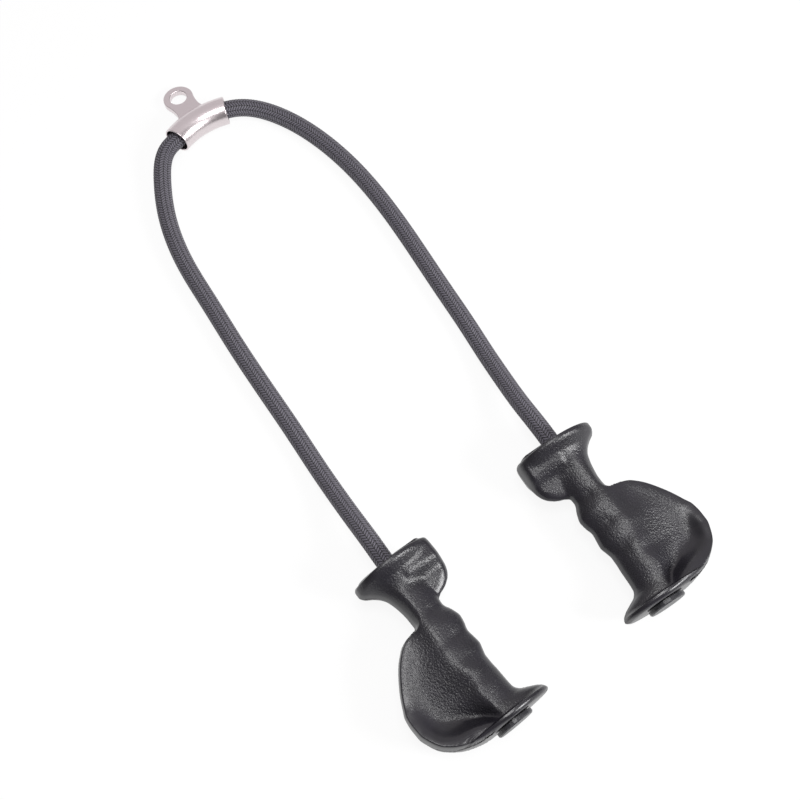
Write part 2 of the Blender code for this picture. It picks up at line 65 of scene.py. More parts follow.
# Rope: one 16 mm nylon cord with a tight braid of 12 strands each way. The strands pass over two and
# under two, so they show as lengthwise rows that lean by turns, in small Vs. It runs from inside the
# left grip, through the sleeve, into the right grip, as one line cut into five pieces.
rope_radius = 0.008
into_grip = 0.016  # The route's own straight start inside each grip
left_turn, right_turn = math.radians(4.0), math.radians(-1.7)
left_entry, right_entry = Vector((-0.0872, -0.167, 0.0295)), Vector((0.0825, -0.1596, 0.0295))
left_along = Vector((math.sin(left_turn), -math.cos(left_turn), 0))
right_along = Vector((math.sin(right_turn), -math.cos(right_turn), 0))
route = [
    left_entry + left_along * into_grip, left_entry,
    (-0.0874, -0.1462, 0.0288), (-0.0872, -0.1202, 0.0225), (-0.0866, -0.0922, 0.0148),
    (-0.0857, -0.0602, 0.0094), (-0.0846, -0.0242, 0.0082), (-0.0841, 0.0238, 0.0082),
    (-0.0831, 0.072, 0.0082), (-0.0808, 0.1204, 0.0082), (-0.078, 0.1662, 0.0082),
    (-0.0686, 0.2098, 0.0083), (-0.0516, 0.2478, 0.0092), (-0.0306, 0.271, 0.0118),
    (-0.0205, 0.2738, 0.0126), (0.0065, 0.2778, 0.0123), (0.0338, 0.2757, 0.0126),
    (0.0498, 0.2686, 0.0116), (0.0717, 0.2452, 0.0092), (0.0888, 0.2061, 0.0083),
    (0.0977, 0.1637, 0.0082), (0.1006, 0.1105, 0.0082), (0.099, 0.067, 0.0082),
    (0.0958, 0.0171, 0.0082), (0.0932, -0.027, 0.0082), (0.0904, -0.0562, 0.0098),
    (0.0872, -0.0862, 0.0152), (0.0843, -0.1132, 0.0226), (0.0829, -0.1392, 0.0288),
    right_entry, right_entry + right_along * into_grip,
]


def smooth_line(points, step):
    """Points about a step apart on the natural cubic curve through these."""
    knots = np.array([tuple(p) for p in points], float)
    reach = np.r_[0, np.cumsum(np.linalg.norm(np.diff(knots, axis=0), axis=1))]
    count = len(knots)
    system, right = np.eye(count), np.zeros_like(knots)
    for i in range(1, count - 1):
        before, after = reach[i] - reach[i - 1], reach[i + 1] - reach[i]
        system[i, i - 1 : i + 2] = before, 2 * (before + after), after
        right[i] = 6 * ((knots[i + 1] - knots[i]) / after - (knots[i] - knots[i - 1]) / before)
    bend = np.linalg.solve(system, right)
    s = np.linspace(0, reach[-1], round(reach[-1] / step) + 1)
    i = np.clip(np.searchsorted(reach, s) - 1, 0, count - 2)
    gap = (reach[i + 1] - reach[i])[:, None]
    a, b = reach[i + 1][:, None] - s[:, None], s[:, None] - reach[i][:, None]
    line = (bend[i] * a**3 + bend[i + 1] * b**3) / (6 * gap)
    line += (knots[i] / gap - bend[i] * gap / 6) * a
    line += (knots[i + 1] / gap - bend[i + 1] * gap / 6) * b
    return line


# The straight lengths in the grips are added at both ends, so that one line carries the whole rope
tail, line_step, tail_step = 0.149, 0.001, 0.002
line = smooth_line(route, line_step)
steps = np.arange(tail, into_grip, -tail_step)
line = np.vstack([
    [left_entry + left_along * float(d) for d in steps], line,
    [right_entry + right_along * float(d) for d in steps[::-1]],
])
along = np.r_[0, np.cumsum(np.linalg.norm(np.diff(line, axis=0), axis=1))]
headings = np.gradient(line, along, axis=0)
headings /= np.linalg.norm(headings, axis=1)[:, None]
# A frame that never twists about the rope, so that the rows of strands don't spiral
ups = [np.array((0.0, 0.0, 1.0))]
for i in range(1, len(line)):
    carried = ups[-1] - headings[i] * (ups[-1] @ headings[i])
    ups.append(carried / np.linalg.norm(carried))
ups = np.array(ups)
sides = np.cross(headings, ups)


def at_line(values, s):
    """What a list of values at the line's points comes to at distances along the line."""
    return np.stack([np.interp(s, along, values[:, k]) for k in range(3)], -1)


def place_on_line(point):
    """How far along the line its nearest point to this one lies."""
    return float(along[np.linalg.norm(line - np.array(point), axis=1).argmin()])


# A strand goes once round the rope in 30 mm and stands half a millimetre proud
strand_turn = 0.03
strands_each_way = 12
relief = 0.0005
points_round = 96
ring_step = 0.00047


def braid(name, start, end):
    """The braided cord between two places on its line, with its strands raised in the mesh."""
    s = np.linspace(start, end, round((end - start) / ring_step) + 1)
    turn = np.arange(points_round) / points_round
    u, v = np.meshgrid(s / strand_turn, turn, indexing="ij")
    row = np.cos(math.pi * strands_each_way * v)
    across = 2 * ((strands_each_way * np.where(row > 0, v - u, v + u)) % 1) - 1
    dive = 1 - 0.5 * (1 - np.abs(row)) ** 3
    radius = rope_radius - relief + relief * np.sqrt(1 - across**2) * dive
    centre, up, side = at_line(line, s), at_line(ups, s), at_line(sides, s)
    angle = 2 * math.pi * turn[None, :, None]
    outwards = up[:, None] * np.cos(angle) + side[:, None] * np.sin(angle)
    points = centre[:, None] + radius[..., None] * outwards
    here = np.arange(points_round)
    after = (here + 1) % points_round
    first = np.arange(len(s) - 1)[:, None] * points_round
    second = first + points_round
    faces = np.stack([first + here, first + after, second + after, second + here], -1).reshape(-1, 4).tolist()
    ends = [here[::-1].tolist(), (here + (len(s) - 1) * points_round).tolist()]
    mesh = bpy.data.meshes.new(name)
    mesh.from_pydata(points.reshape(-1, 3), [], faces + ends)
    low_u, high_u = np.repeat(s[:-1, None], points_round, 1), np.repeat(s[1:, None], points_round, 1)
    low_v = np.repeat(turn[None], len(s) - 1, 0)
    high_v = low_v + 1 / points_round
    places = np.stack([low_u, low_v, low_u, high_v, high_u, high_v, high_u, low_v], -1).reshape(-1)
    places[0::2] /= strand_turn
    values = np.zeros(len(mesh.loops) * 2)
    values[: len(places)] = places
    mesh.uv_layers.new(name="strand").data.foreach_set("uv", values)
    mesh.shade_smooth()
    made = bpy.data.objects.new(name, mesh)
    bpy.context.scene.collection.objects.link(made)
    return made


def colour(text):
    """A six-digit sRGB colour as linear red, green, blue and alpha."""
    parts = [int(text[i : i + 2], 16) / 255 for i in (0, 2, 4)]
    return [c / 12.92 if c <= 0.04045 else ((c + 0.055) / 1.055) ** 2.4 for c in parts] + [1.0]


def node(tree, kind, inputs=(), **settings):
    """Adds a shader node, with its settings and the values or links of its inputs."""
    made = tree.nodes.new("ShaderNode" + kind)
    for name, value in settings.items():
        setattr(made, name, value)
    for name, value in dict(inputs).items():
        if isinstance(value, bpy.types.NodeSocket):
            tree.links.new(value, made.inputs[name])
        else:
            made.inputs[name].default_value = value
    return made


def new_finish(name):
    """A new material, with its node tree and its shader."""
    made = bpy.data.materials.new(name)
    made.use_nodes = True
    return made, made.node_tree, made.node_tree.nodes["Principled BSDF"]


def set_tones(ramp, *tones):
    """Gives a colour ramp's two stops their places and sRGB colours."""
    for stop, (place, text) in zip(ramp.color_ramp.elements, tones):
        stop.position = place
        stop.color = colour(text)


# Braided nylon yarn: charcoal with a faint violet cast, dull, with the fine lines of its filaments. Its
# colour also carries painted shade where the strands dive under each other and along the strands' edges, and
# a painted highlight on their round backs
yarn, tree, skin = new_finish("braided nylon yarn")
uv = node(tree, "SeparateXYZ", {0: node(tree, "UVMap", uv_map="strand").outputs["UV"]})
u, v = uv.outputs["X"], uv.outputs["Y"]
# Which way the strand here leans, and how far across it this place is, as in the mesh
phase = node(tree, "Math", {0: v, 1: math.pi * strands_each_way}, operation="MULTIPLY")
row = node(tree, "Math", {0: phase.outputs[0]}, operation="COSINE")
way = node(tree, "Math", {0: row.outputs[0]}, operation="SIGN")
lean = node(tree, "Math", {0: u, 1: way.outputs[0]}, operation="MULTIPLY")
strand = node(tree, "Math", {0: v, 1: lean.outputs[0]}, operation="SUBTRACT")
count = node(tree, "Math", {0: strand.outputs[0], 1: strands_each_way}, operation="MULTIPLY")
inside = node(tree, "Math", {0: count.outputs[0]}, operation="FRACT")
across = node(tree, "Math", {0: inside.outputs[0], 1: 2.0, 2: -1.0}, operation="MULTIPLY_ADD")
# Its round back, which falls away where it dives under the next strand
squared = node(tree, "Math", {0: across.outputs[0], 1: across.outputs[0]}, operation="MULTIPLY")
left_over = node(tree, "Math", {0: 1.0, 1: squared.outputs[0]}, operation="SUBTRACT")
round_top = node(tree, "Math", {0: left_over.outputs[0], 1: 0.5}, operation="POWER")
on_top = node(tree, "Math", {0: row.outputs[0]}, operation="ABSOLUTE")
under = node(tree, "Math", {0: 1.0, 1: on_top.outputs[0]}, operation="SUBTRACT")
deep = node(tree, "Math", {0: under.outputs[0], 1: 3.0}, operation="POWER")
dive = node(tree, "Math", {0: deep.outputs[0], 1: -0.5, 2: 1.0}, operation="MULTIPLY_ADD")
height = node(tree, "Math", {0: round_top.outputs[0], 1: dive.outputs[0]}, operation="MULTIPLY")
# Its filaments: fine streaks along the strand
stroke = node(tree, "CombineXYZ", {"X": count.outputs[0], "Y": u, "Z": way.outputs[0]})
stretched = node(tree, "VectorMath", {0: stroke.outputs[0], 1: (5.0, 14.0, 3.0)}, operation="MULTIPLY")
filament = node(tree, "TexNoise", {"Vector": stretched.outputs[0], "Scale": 1.0, "Detail": 3.0})
shade = node(tree, "Math", {0: filament.outputs["Fac"], 1: 0.5, 2: -0.25}, operation="MULTIPLY_ADD")
strand_relief_and_painted_shade = node(tree, "Math", {0: height.outputs[0], 1: shade.outputs[0]}, operation="ADD")
# The ramp paints shade in the dips where the strands dive under and along their edges, and a highlight on
# their round backs, with the filament streaks on top
ramp = node(tree, "ValToRGB", {"Fac": strand_relief_and_painted_shade.outputs[0]})
set_tones(ramp, (0.4, "0c0b0e"), (1.0, "64616b"))
tree.links.new(ramp.outputs["Color"], skin.inputs["Base Color"])
skin.inputs["Roughness"].default_value = 0.55
skin.inputs["Sheen Weight"].default_value = 0.12
skin.inputs["Sheen Roughness"].default_value = 0.4
bump = node(tree, "Bump", {"Height": strand_relief_and_painted_shade.outputs[0], "Strength": 0.8, "Distance": 0.0004})
tree.links.new(bump.outputs["Normal"], skin.inputs["Normal"])

# The cord is cut just outside the sleeve's two mouths, where its legs bend
mouth_reach = 0.004
sleeve_middle = Vector((0.0066, 0.27625, 0.012))
sleeve_turn = math.radians(2)
half_span, mouth_drop = 0.0272, Vector((0, 0.0015, 0))
sleeve_across = Vector((math.cos(sleeve_turn), math.sin(sleeve_turn), 0))
left_mouth = sleeve_middle - sleeve_across * half_span - mouth_drop
right_mouth = sleeve_middle + sleeve_across * half_span - mouth_drop
cut_left = place_on_line(left_mouth) - mouth_reach
cut_right = place_on_line(right_mouth) + mouth_reach
enter_left, enter_right = place_on_line(left_entry), place_on_line(right_entry)
rope_pieces = {
    "rope_end_left": (0.0, enter_left, "leg_left"),
    "rope_leg_left": (enter_left, cut_left, None),
    "rope_in_sleeve": (cut_left, cut_right, "rope_bight"),
    "rope_leg_right": (cut_right, enter_right, None),
    "rope_end_right": (enter_right, float(along[-1]), "leg_right"),
}
for name, (start, end, body) in rope_pieces.items():
    piece = braid(name + "_braid", start, end)
    piece.data.materials.append(yarn)
    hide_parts(name)
    if body:
        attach(piece, body)
        continue
    path = [tuple(p) for p in at_line(line, np.arange(start, end, 0.005))]
    near_left = name.endswith("left")
    path = path[::-1] if near_left else path
    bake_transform(piece)


# Sleeve: a short piece of 25.4 mm stainless tube, bent 45 degrees, with rounded lips, tumbled to a
# satin shine. A circle is spun round the bend's axis and given its wall. It turns on the rope and
# leans on the eye plate's tip.
bend_radius = 0.071077
half_bend = math.radians(22.5)
tube_radius, bore_radius = 0.0127, 0.0111
sleeve_lean = math.radians(-11.135)
sleeve_frame = (
    Matrix.Translation(sleeve_middle)
    @ Matrix.Rotation(sleeve_turn, 4, "Z")
    @ Matrix.Rotation(sleeve_lean, 4, "X")
)
# The outermost point of the bend's centre line, in the sleeve's own frame
apex_u, apex_w = 0.002469, 0.0012
bend_centre = Vector((0, apex_u - bend_radius, apex_w))
bpy.ops.object.select_all(action="DESELECT")
bpy.ops.mesh.primitive_circle_add(
    vertices=72, radius=tube_radius, rotation=(math.pi / 2, 0, math.pi / 2 + half_bend),
    location=bend_centre + bend_radius * Vector((-math.sin(half_bend), math.cos(half_bend), 0)),
)
sleeve = bpy.context.object
sleeve.name = sleeve.data.name = "sleeve"
bpy.ops.object.mode_set(mode="EDIT")
bpy.ops.mesh.select_all(action="SELECT")
bpy.ops.mesh.spin(steps=40, angle=2 * half_bend, center=bend_centre, axis=(0, 0, 1))
bpy.ops.mesh.select_all(action="SELECT")
bpy.ops.mesh.normals_make_consistent(inside=False)
bpy.ops.object.mode_set(mode="OBJECT")
wall = sleeve.modifiers.new("wall", "SOLIDIFY")
wall.thickness = tube_radius - bore_radius
wall.offset = -1
wall.use_even_offset = True
lips = sleeve.modifiers.new("lips", "BEVEL")
lips.width = 0.00078
lips.segments = 5
lips.angle_limit = math.radians(60)
for step in ("wall", "lips"):
    bpy.ops.object.modifier_apply(modifier=step)
sleeve.data.transform(sleeve_frame @ sleeve.matrix_world)
sleeve.matrix_world = Matrix.Identity(4)
bpy.ops.object.shade_smooth()

# Stainless steel, tumbled: warm grey, softly reflecting, cloudy in patches of about 6 mm, with very
# fine random scratches 0.4 mm apart
steel, tree, skin = new_finish("tumbled stainless steel")
place = node(tree, "TexCoord").outputs["Object"]
cloud = node(tree, "TexNoise", {"Vector": place, "Scale": 160.0, "Detail": 4.0})
scratches = node(tree, "TexNoise", {"Vector": place, "Scale": 2600.0, "Detail": 2.0})
rough = node(tree, "MapRange", {"Value": cloud.outputs["Fac"], "To Min": 0.26, "To Max": 0.36})
tree.links.new(rough.outputs["Result"], skin.inputs["Roughness"])
skin.inputs["Base Color"].default_value = colour("dfd6d8")
skin.inputs["Metallic"].default_value = 1.0
bump = node(tree, "Bump", {"Height": scratches.outputs["Fac"], "Strength": 0.1, "Distance": 0.00005})
tree.links.new(bump.outputs["Normal"], skin.inputs["Normal"])
sleeve.data.materials.append(steel)
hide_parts("sleeve_tube")
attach(sleeve, "eye_sleeve")


# Eye plate: flat stainless bar with a round head, hollow flanks, a drilled hole and rounded edges,
# standing on the outside of the bend. It is welded on and ground nearly flush.
hole_u, head_radius, hole_radius = apex_u + 0.036, 0.014, 0.008
half_plate, foot_half = 0.003, 0.015
head_start = math.radians(-22)
# Each flank is a hollow curve from the foot's corner, drawn towards a pull point, to the head
flank_start, flank_pull = (foot_half, apex_u + 0.0108), (0.0095, apex_u + 0.01656)
flank_end = (head_radius * math.cos(head_start), hole_u + head_radius * math.sin(head_start))
outline = [(foot_half, apex_u), flank_start]
for t in np.linspace(0, 1, 14)[1:-1]:
    outline.append(tuple(
        (1 - t) ** 2 * start + 2 * t * (1 - t) * pull + t * t * end
        for start, pull, end in zip(flank_start, flank_pull, flank_end)
    ))
for a in np.linspace(head_start, math.pi / 2, 25):
    outline.append((head_radius * math.cos(a), hole_u + head_radius * math.sin(a)))
outline += [(-x, u) for x, u in reversed(outline[:-1])]
hole = [
    (hole_radius * math.cos(a), hole_u + hole_radius * math.sin(a))
    for a in np.linspace(0, 2 * math.pi, 64, endpoint=False)
]


def add_loop(curve, points):
    """Adds a closed line with straight steps between these points to a curve."""
    spline = curve.splines.new("POLY")
    spline.points.add(len(points) - 1)
    for slot, point in zip(spline.points, points):
        slot.co = (*point, 1)
    spline.use_cyclic_u = True


def mesh_from(curve, name):
    """A mesh object of this name from a curve, left selected and active."""
    made = bpy.data.objects.new(name, curve)
    bpy.context.scene.collection.objects.link(made)
    bpy.ops.object.select_all(action="DESELECT")
    made.select_set(True)
    bpy.context.view_layer.objects.active = made
    bpy.ops.object.convert(target="MESH")
    return bpy.context.object


curve = bpy.data.curves.new("eye_plate", "CURVE")
curve.dimensions = "2D"
curve.fill_mode = "BOTH"
round_edge = 0.0008
curve.extrude = half_plate - round_edge
curve.bevel_depth = round_edge
curve.offset = -round_edge
curve.bevel_resolution = 3
for loop in (outline, hole):
    add_loop(curve, [(x, u, 0) for x, u in loop])
eye = mesh_from(curve, "eye_plate_drilled")
eye.data.transform(sleeve_frame @ Matrix.Translation((0, 0, apex_w)))
bpy.ops.object.shade_smooth_by_angle(angle=math.radians(40))
eye.data.materials.append(steel)
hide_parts("eye_plate")
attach(eye, "eye_sleeve")


# Weld: ground down to a fine fillet where the eye plate's foot meets the tube, slightly browned by
# the heat. A thin round line is laid along the joint, in turns about the bend and about the tube.
fillet_radius, fillet_lift = 0.00042, 0.0001
weld_half = foot_half + 0.0002
side_turn = [math.asin(x / (bend_radius + tube_radius)) for x in np.linspace(-weld_half, weld_half, 33)]
lean = math.asin((half_plate + fillet_lift) / tube_radius)
round_end = np.linspace(lean, -lean, 7)[1:-1]
joint = [(t, lean) for t in side_turn] + [(side_turn[-1], b) for b in round_end]
joint += [(t, -lean) for t in side_turn[::-1]] + [(side_turn[0], b) for b in round_end[::-1]]
curve = bpy.data.curves.new("weld_fillet", "CURVE")
curve.dimensions = "3D"
curve.bevel_depth = fillet_radius
curve.bevel_resolution = 3
lifted = tube_radius + fillet_lift
joint_line = []
for t, b in joint:
    reach = bend_radius + lifted * math.cos(b)
    on_tube = Vector((reach * math.sin(t), reach * math.cos(t), lifted * math.sin(b)))
    joint_line.append(sleeve_frame @ (bend_centre + on_tube))
add_loop(curve, joint_line)
weld = mesh_from(curve, "weld_fillet")
bpy.ops.object.shade_smooth()

# Welded stainless steel: duller than the tube, with a straw-brown heat tint in patches of 2 to 3 mm
weld_steel, tree, skin = new_finish("welded stainless steel")
place = node(tree, "TexCoord").outputs["Object"]
tint = node(tree, "TexNoise", {"Vector": place, "Scale": 420.0, "Detail": 3.0})
ramp = node(tree, "ValToRGB", {"Fac": tint.outputs["Fac"]})
set_tones(ramp, (0.35, "9a8a80"), (0.7, "c4b8b2"))
tree.links.new(ramp.outputs["Color"], skin.inputs["Base Color"])
skin.inputs["Metallic"].default_value = 1.0
skin.inputs["Roughness"].default_value = 0.38
weld.data.materials.append(weld_steel)
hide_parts("weld_bead")
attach(weld, "eye_sleeve")


# Grips: one soft urethane moulding, used either way round. Its body is drawn as sections across its
# length: a slanted column with finger grooves, a rope-end flange with the beak that the first finger
# pulls on, a foot plate, and the palm rest, which is scooped out above and below.
grip_length, finger_reach, palm_reach, half_width = 0.156, 0.038, 0.066, 0.029
# Its outline on the two sides, as (share of its length, share of its reach)
finger_line = [
    (0, 0.85), (0.01, 0.955), (0.025, 0.99), (0.055, 1), (0.1, 1), (0.175, 0.965), (0.21, 0.92),
    (0.243, 0.83), (0.272, 0.66), (0.29, 0.475), (0.307, 0.39), (0.335, 0.38), (0.392, 0.474),
    (0.434, 0.52), (0.475, 0.495), (0.519, 0.445), (0.563, 0.465), (0.601, 0.48), (0.639, 0.44),
    (0.677, 0.405), (0.715, 0.405), (0.76, 0.416), (0.83, 0.421), (0.873, 0.435), (0.902, 0.513),
    (0.924, 0.684), (0.946, 0.855), (0.966, 0.95), (0.984, 0.98), (0.994, 0.95), (1, 0.88),
]
palm_line = [
    (0, 0.45), (0.008, 0.505), (0.022, 0.522), (0.048, 0.524), (0.073, 0.49), (0.098, 0.405),
    (0.127, 0.333), (0.16, 0.285), (0.231, 0.242), (0.291, 0.227), (0.342, 0.227),
    (0.358, 0.25), (0.366, 0.345), (0.382, 0.48), (0.411, 0.575), (0.446, 0.66), (0.503, 0.765),
    (0.566, 0.862), (0.623, 0.932), (0.674, 0.985), (0.731, 1), (0.782, 0.998), (0.839, 0.958),
    (0.889, 0.898), (0.924, 0.818), (0.956, 0.712), (0.978, 0.591), (0.994, 0.455), (1, 0.34),
]
# The line over the tops of the finger ridges, inside which the grooves lie, and the neck by the beak
ridge_line = [(0.3, 0.39), (0.434, 0.52), (0.6, 0.48), (0.78, 0.425), (0.873, 0.435)]
neck_line = [(0, 0.42), (0.2, 0.42), (0.29, 0.4), (0.307, 0.39)]
# How the flange's width falls off towards the grip, on the palm's side and on the fingers'
flare_line = [
    (0, 1), (0.03, 1), (0.045, 0.96), (0.065, 0.84), (0.09, 0.7), (0.13, 0.585), (0.19, 0.47),
    (0.26, 0.3), (0.32, 0),
]
finger_flare_line = [
    (0, 1), (0.03, 1), (0.045, 0.96), (0.065, 0.84), (0.09, 0.7), (0.12, 0.6), (0.16, 0.36), (0.21, 0),
]
# Where the wall round the palm rest and the deep grain of the hollow start and are full
wall_line, deep_grain_line = [(0.5, 0), (0.66, 1)], [(0.5, 0), (0.62, 1)]
# Shapes along the grip, as (share of its length, metres): the crest's place across it and its height,
# the hollow's width, the web's half thickness, the round of the palm's edge and the beak. The rim's
# height goes with how far along the grip the nearest edge of the palm rest is.
crest_line = [
    (0, 0.001), (0.1, 0.002), (0.2, 0.0055), (0.34, 0.0065), (0.46, 0.0075), (0.59, 0.0095),
    (0.73, 0.0045), (0.81, 0.0068), (0.9, 0.0055), (1, 0.004),
]
crest_height = [
    (0, 0.016), (0.2, 0.0155), (0.31, 0.0148), (0.42, 0.0162), (0.5, 0.0162), (0.56, 0.0172),
    (0.62, 0.0166), (0.69, 0.0175), (0.745, 0.0167), (0.8, 0.0176), (0.9, 0.0164), (1, 0.0175),
]
hollow_line = [
    (0.3, 0.013), (0.38, 0.015), (0.45, 0.02), (0.52, 0.026), (0.6, 0.032), (0.7, 0.037), (0.76, 0.038),
    (0.8, 0.031), (0.86, 0.021), (0.9, 0.0125), (0.95, 0.009), (1, 0.008),
]
web_line = [
    (0, 0.013), (0.33, 0.012), (0.4, 0.0108), (0.5, 0.0095), (0.6, 0.0078), (0.7, 0.0055), (0.78, 0.0038),
    (1, 0.0036),
]
side_line = [
    (0, 0.011), (0.3, 0.0095), (0.345, 0.006), (0.38, 0.002), (0.45, 0.0012), (0.62, 0.0012),
    (0.75, 0.0022), (1, 0.0028),
]
beak_line = [
    (0, 0.019), (0.1, 0.0188), (0.12, 0.0182), (0.135, 0.0166), (0.17, 0.0105), (0.185, 0.009),
    (0.21, 0.0078), (0.25, 0.0055), (0.32, 0.003),
]
rim_line = [
    (0, 0.009), (0.5, 0.009), (0.6, 0.0086), (0.67, 0.0096), (0.75, 0.0118), (0.83, 0.0136), (0.92, 0.0155),
    (0.97, 0.018), (1, 0.0215),
]
# Column and its finger grooves
column_power = 1.75
groove_depth, groove_reach = 0.55, 0.45
# Palm rest: the round of the crest, and the web that thins out at the edge
crest_round = 0.0055
web_thinner, thinner_within = 0.0011, 0.009
# Wall round the palm rest: it is wider at the palm than by the column, starts with a level band, and
# has fillets at its foot, at its top and in its corner by the foot plate
narrow_wall, wide_wall = 0.0065, 0.025
band_most, band_of_wall = 0.0075, 0.33
wall_foot_fillet, wall_top_fillet, wall_corner_fillet = 0.003, 0.003, 0.018
wall_widens = (0.004, 0.032)
# Flange, beak and foot plate
crown_share, crown_depth, flange_power = 0.3, 0.0025, 1.9
flare_changes = (-0.012, 0.006)
beak_tip_share, beak_tip, beak_edge_round = 0.74, (-0.036, -0.008), 0.006
beak_fades = (0.008, -0.006)
base_thickness, base_fillet, base_power = 0.0045, 0.0055, 1.8
base_edge, base_edge_loss, base_past_palm = 0.003, 0.06, 1.2
beak_fillet, base_join, column_fillet = 0.0035, 0.003, 0.005
outer_round = 0.002
# Grain: none at the edges and on the wall, and deepest in the hollow
grain_starts, wall_smooth_from = (0.002, 0.007), 0.004
grain_depth, grain_more_in_hollow = 0.62, 0.6


def through(shares, at):
    """A smooth value read from (place, value) pairs, with no overshoot between them."""
    x = np.array([s[0] for s in shares], float)
    y = np.array([s[1] for s in shares], float)
    slope = np.diff(y) / np.diff(x)
    tangent = np.zeros_like(y)
    tangent[0], tangent[-1] = slope[0], slope[-1]
    same = slope[:-1] * slope[1:] > 0
    tangent[1:-1][same] = 2 / (1 / slope[:-1][same] + 1 / slope[1:][same])
    at = np.clip(at, x[0], x[-1])
    i = np.clip(np.searchsorted(x, at, side="right") - 1, 0, len(x) - 2)
    gap = x[i + 1] - x[i]
    t = (at - x[i]) / gap
    return (
        y[i] * (1 + 2 * t) * (1 - t) ** 2
        + tangent[i] * gap * t * (1 - t) ** 2
        + y[i + 1] * t**2 * (3 - 2 * t)
        - tangent[i + 1] * gap * t**2 * (1 - t)
    )


def joined(one, other, width):
    """The larger of two heights, with a fillet where they meet."""
    close = np.clip(1 - np.abs(one - other) / width, 0, 1)
    return np.maximum(one, other) + close**2 * width / 4


def progress(value, start, end):
    """How far a value has come from a start to an end: 0 before, 1 after."""
    return np.clip((value - start) / (end - start), 0, 1)


def eased(t):
    return t**2 * (3 - 2 * t)


def oval(p, back, front, power):
    """The height over p of an oval that reaches back and front of 0 by its own lengths."""
    reach = np.where(p < 0, back, front)
    return np.clip(1 - np.abs(p / reach) ** power, 0, None) ** (1 / power)


def nose(inside, width):
    """A rounded edge: 0 at the outline, 1 from a width inside it."""
    return np.sqrt(1 - (1 - np.clip(inside / width, 0, 1)) ** 2)


edge_shares = np.linspace(0, 1, 401)
edge_along = edge_shares * grip_length
edge_palm = palm_reach * through(palm_line, edge_shares)
edge_finger = -finger_reach * through(finger_line, edge_shares)


def section(a, p, finger, palm):
    """Half the grip's thickness at a distance along it and at places across it, and the grain there."""
    share = a / grip_length
    end = max(grip_length - a, 0)
    # Column: a flat slope towards the fingers, with a groove for each of them
    crest = through(crest_line, share)
    height = through(crest_height, share)
    neck = finger if share > neck_line[-1][0] else max(finger, -finger_reach * through(neck_line, share))
    towards_finger = progress(p, crest, neck)
    column = height * (1 - towards_finger**column_power) ** (1 / column_power)
    if ridge_line[0][0] < share < ridge_line[-1][0]:
        groove = max(0, finger_reach * (through(ridge_line, share) - through(finger_line, share)))
        in_groove = progress(towards_finger, 0, groove_reach) ** 2
        column = column - groove_depth * groove * in_groove * column / height
    # Towards the palm it falls away in a hollow slope to a thin web, and a smooth wall climbs from the
    # web to the rim round the palm rest
    far = np.hypot(a - edge_along, p[:, None] - edge_palm)
    from_palm = far.min(1)
    web = through(web_line, share) - web_thinner * progress(from_palm, thinner_within, 0) ** 2
    off_crest = np.sqrt(np.clip(p - crest, 0, None) ** 2 + crest_round**2) - crest_round
    down_slope = progress(off_crest, 0, through(hollow_line, share))
    scooped = web + (height - web) * (1 - down_slope) ** 2
    from_edge = -joined(-from_palm, 0 * p - end, wall_corner_fillet)
    rim = through(rim_line, edge_shares[far.argmin(1)])
    wall_width = narrow_wall + (wide_wall - narrow_wall) * progress(p, *wall_widens)
    band = np.minimum(band_most, band_of_wall * wall_width)
    past_band = from_edge - band
    down_wall = (past_band + np.sqrt(past_band**2 + wall_foot_fillet**2)) / 2 / (wall_width - band)
    climb = np.clip(1 - down_wall, 0, 1) ** 2 * through(wall_line, share)
    palm_side = scooped + joined(rim - scooped, 0 * p, wall_top_fillet) * climb
    palm_side = palm_side * nose(from_palm, through(side_line, share))
    column = np.where(p < crest, column, palm_side)
    # Flange with its flare, and the beak that grows out of it on the fingers' side
    crown = np.sqrt(np.clip(crown_share + (1 - crown_share) * a / crown_depth, 0, 1))
    finger_flare = through(finger_flare_line, share)
    flare = finger_flare + (through(flare_line, share) - finger_flare) * eased(progress(p, *flare_changes))
    flange = crown * half_width * oval(p, -finger, palm, flange_power) * flare
    from_finger = np.hypot(a - edge_along, p[:, None] - edge_finger).min(1)
    tip = beak_tip_share + (1 - beak_tip_share) * progress(p, *beak_tip)
    fade = eased(progress(p, *beak_fades))
    beak = through(beak_line, share) * tip * nose(from_finger, beak_edge_round) * fade
    # Foot plate
    foot = 1 - base_edge_loss * progress(end, base_edge, 0) ** 2
    base_fall = progress(end, base_thickness, base_thickness + base_fillet)
    base = foot * half_width * oval(p, -finger, base_past_palm * palm, base_power) * (1 - base_fall) ** 2
    depth = joined(column, joined(joined(flange, beak, beak_fillet), base, base_join), column_fillet)
    inside = np.minimum(from_finger, from_palm)
    grain = progress(np.minimum(inside, min(a, end)), *grain_starts)
    on_wall = np.where(p > crest, progress(climb * (rim - web), 0, wall_smooth_from), 0)
    in_hollow = np.where(p > crest, 4 * down_slope * (1 - down_slope), 0) * through(deep_grain_line, share)
    grain = grain * (1 - eased(on_wall)) * (grain_depth + grain_more_in_hollow * in_hollow)
    return depth * nose(inside, outer_round), grain


